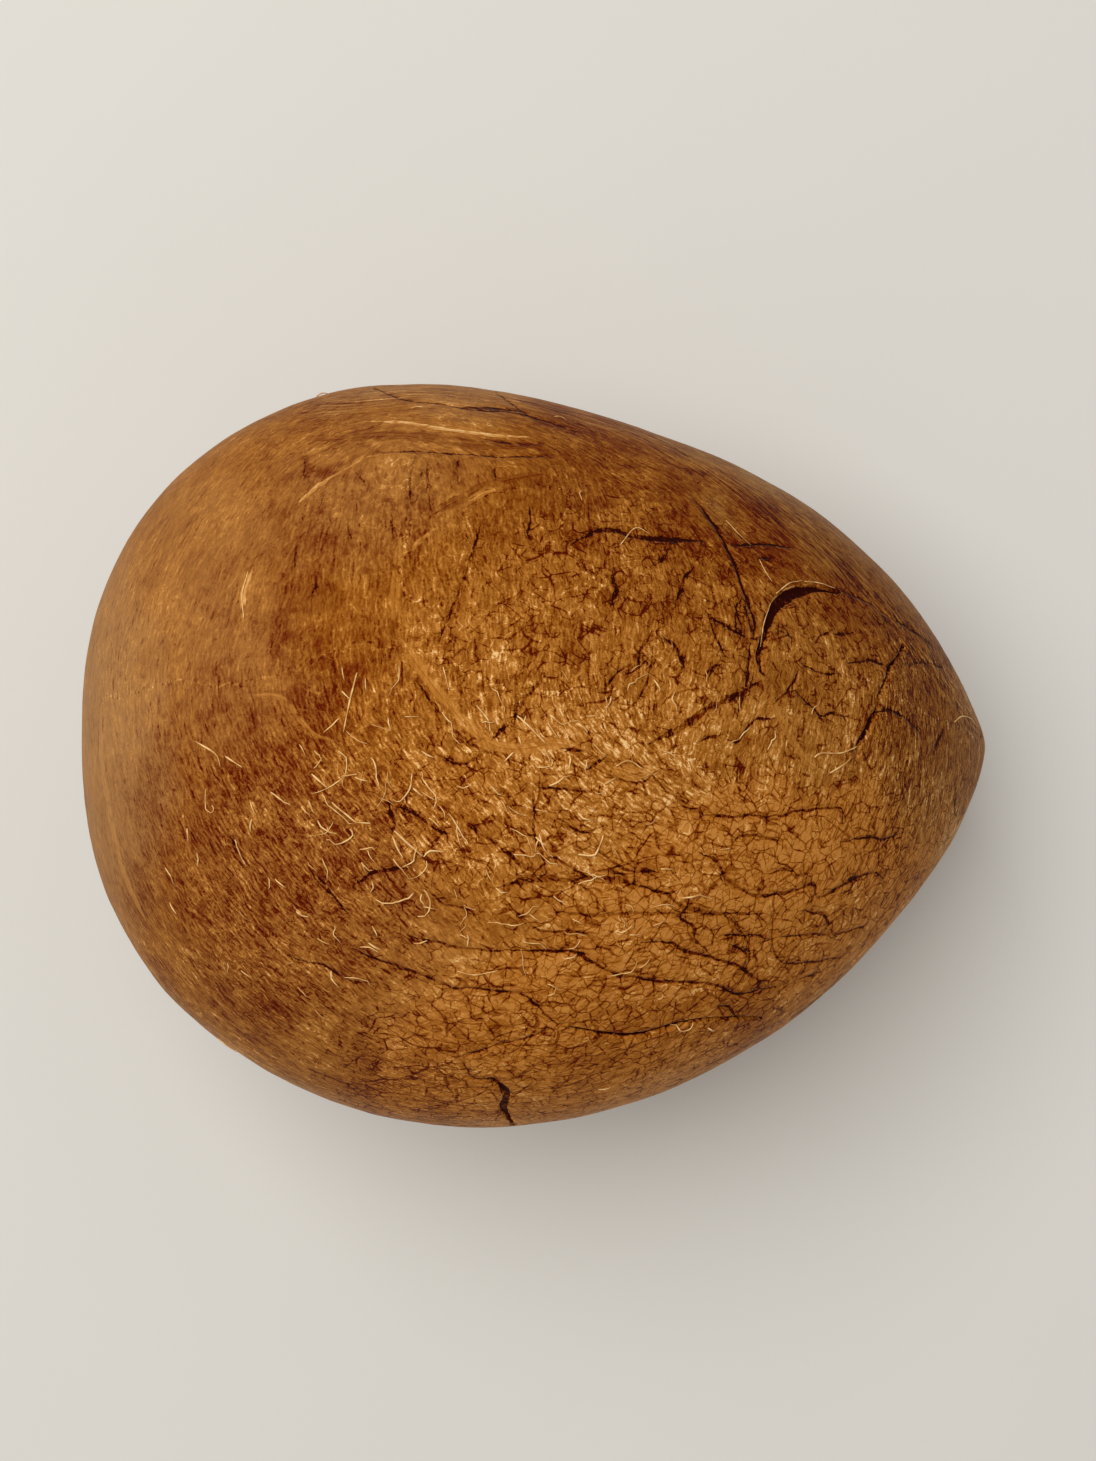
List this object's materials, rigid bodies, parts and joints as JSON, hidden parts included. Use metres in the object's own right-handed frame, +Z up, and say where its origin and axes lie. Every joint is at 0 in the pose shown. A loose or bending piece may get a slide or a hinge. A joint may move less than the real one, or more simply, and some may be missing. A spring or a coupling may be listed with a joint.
{
  "type": "shelled coconut kernel",
  "caption": "Whole egg-shaped coconut kernel in its veined brown skin, with one pointed end, lying on a small flat spot.",
  "frame": {"origin": "bottom centre of the kernel's box, on the surface that it rests on", "axes": "+X towards the pointed end, +Z up"},
  "size_m": [0.109, 0.086, 0.0833],
  "materials": {
    "brown_skin": "satin, mottled orange-brown skin with a network of fine dark veins and a few pale fibres"
  },
  "bodies": {
    "root": {"coconut_kernel": "brown_skin"}
  },
  "joints": []
}
